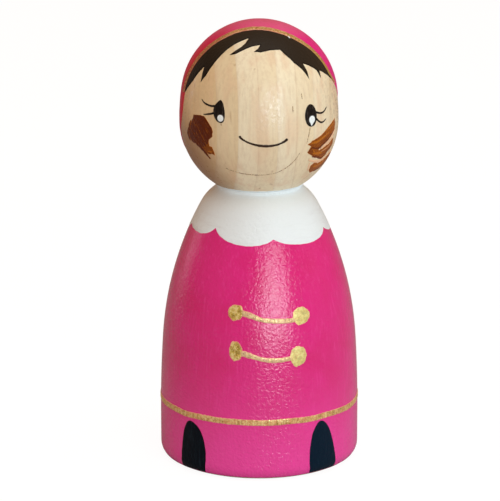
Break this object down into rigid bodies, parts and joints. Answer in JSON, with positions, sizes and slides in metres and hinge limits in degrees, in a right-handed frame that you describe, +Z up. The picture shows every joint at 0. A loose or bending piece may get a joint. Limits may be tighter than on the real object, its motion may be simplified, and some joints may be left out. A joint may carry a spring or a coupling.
{
  "type": "peg doll",
  "caption": "Turned wooden peg doll with a round head, painted hooded coat with white scalloped collar, gold cord frogs and hem, and dark boots.",
  "frame": {"origin": "centre of the flat base, on the axis of the turned body", "axes": "+Z up along the turning axis to the crown, the face looks along -Y, +X to the right seen from the front"},
  "size_m": [0.0406, 0.0406, 0.09],
  "materials": {
    "body_wood": "bare turned wood, fine sanded",
    "head_wood": "bare turned wood with a thin clear coat",
    "dowel_wood": "bare birch dowel",
    "coat_paint": "satin magenta pink acrylic paint under clear varnish",
    "collar_paint": "soft white acrylic paint with brush strokes",
    "gold_paint": "metallic gold paint pen",
    "boot_paint": "near-black acrylic paint under clear varnish",
    "hood_paint": "satin magenta pink acrylic paint under clear varnish",
    "hair_paint": "dark brown-black acrylic paint under clear varnish",
    "eye_paint": "black acrylic paint under clear varnish",
    "glint_paint": "white acrylic dot",
    "left_cheek_paint": "thin dark red-brown paint strokes",
    "right_cheek_paint": "thin orange-brown paint strokes"
  },
  "bodies": {
    "root": {"body": "body_wood", "head": "head_wood", "neck_dowel": "dowel_wood", "coat": "coat_paint", "collar": "collar_paint", "hem_band": "gold_paint", "upper_buttons": "gold_paint", "upper_cord": "gold_paint", "lower_buttons": "gold_paint", "lower_cord": "gold_paint", "left_boot": "boot_paint", "right_boot": "boot_paint", "hood": "hood_paint", "hood_trim": "gold_paint", "hair": "hair_paint", "left_eye": "eye_paint", "right_eye": "eye_paint", "left_glint": "glint_paint", "right_glint": "glint_paint", "left_lashes": "eye_paint", "right_lashes": "eye_paint", "mouth": "eye_paint", "left_cheek": "left_cheek_paint", "right_cheek": "right_cheek_paint"}
  },
  "joints": []
}
